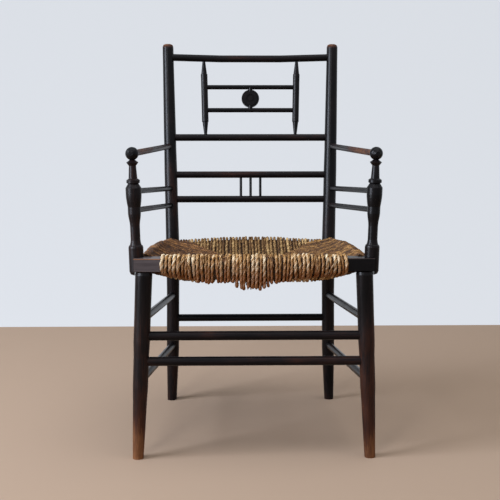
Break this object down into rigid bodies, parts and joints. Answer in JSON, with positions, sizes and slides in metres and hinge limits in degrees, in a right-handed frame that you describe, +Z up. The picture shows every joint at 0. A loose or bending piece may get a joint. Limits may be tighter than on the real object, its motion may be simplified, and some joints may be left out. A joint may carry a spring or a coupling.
{
  "type": "sussex chair",
  "caption": "Ebonised turned armchair with a rush seat, bent back posts, an open spindle frame with a turned roundel in the back, ball-ended arms and vase-turned arm supports.",
  "frame": {"origin": "on the floor under the middle of the whole chair", "axes": "+X to the right as seen from the front, +Y to the back, +Z up; the chair faces -Y"},
  "size_m": [0.5102, 0.4865, 0.86],
  "materials": {
    "ebonised_wood": "worn black satin stain over brown wood",
    "bare_wood": "unfinished, hidden in the seat",
    "rush": "dry twisted rush, matt"
  },
  "bodies": {
    "root": {"back_post_left": "ebonised_wood", "back_post_right": "ebonised_wood", "front_leg_left": "ebonised_wood", "front_leg_right": "ebonised_wood", "front_seat_rail": "ebonised_wood", "side_seat_rail_left": "bare_wood", "side_seat_rail_right": "bare_wood", "back_seat_rail": "bare_wood", "upper_back_rail": "ebonised_wood", "upper_lumbar_rail": "ebonised_wood", "lower_lumbar_rail": "ebonised_wood", "back_stretcher": "ebonised_wood", "front_stretcher_upper": "ebonised_wood", "front_stretcher_lower": "ebonised_wood", "crest_rail": "ebonised_wood", "frame_spindle_left": "ebonised_wood", "frame_spindle_right": "ebonised_wood", "frame_rod_upper": "ebonised_wood", "frame_rod_lower": "ebonised_wood", "roundel": "ebonised_wood", "lumbar_stick_left": "ebonised_wood", "lumbar_stick_centre": "ebonised_wood", "lumbar_stick_right": "ebonised_wood", "side_stretcher_upper_left": "ebonised_wood", "side_stretcher_lower_left": "ebonised_wood", "side_stretcher_upper_right": "ebonised_wood", "side_stretcher_lower_right": "ebonised_wood", "arm_spindle_upper_left": "ebonised_wood", "arm_spindle_lower_left": "ebonised_wood", "arm_spindle_upper_right": "ebonised_wood", "arm_spindle_lower_right": "ebonised_wood", "arm_left": "ebonised_wood", "arm_right": "ebonised_wood", "arm_support_left": "ebonised_wood", "arm_support_right": "ebonised_wood", "support_key_left": "bare_wood", "support_key_right": "bare_wood", "rush_seat": "rush"}
  },
  "joints": []
}
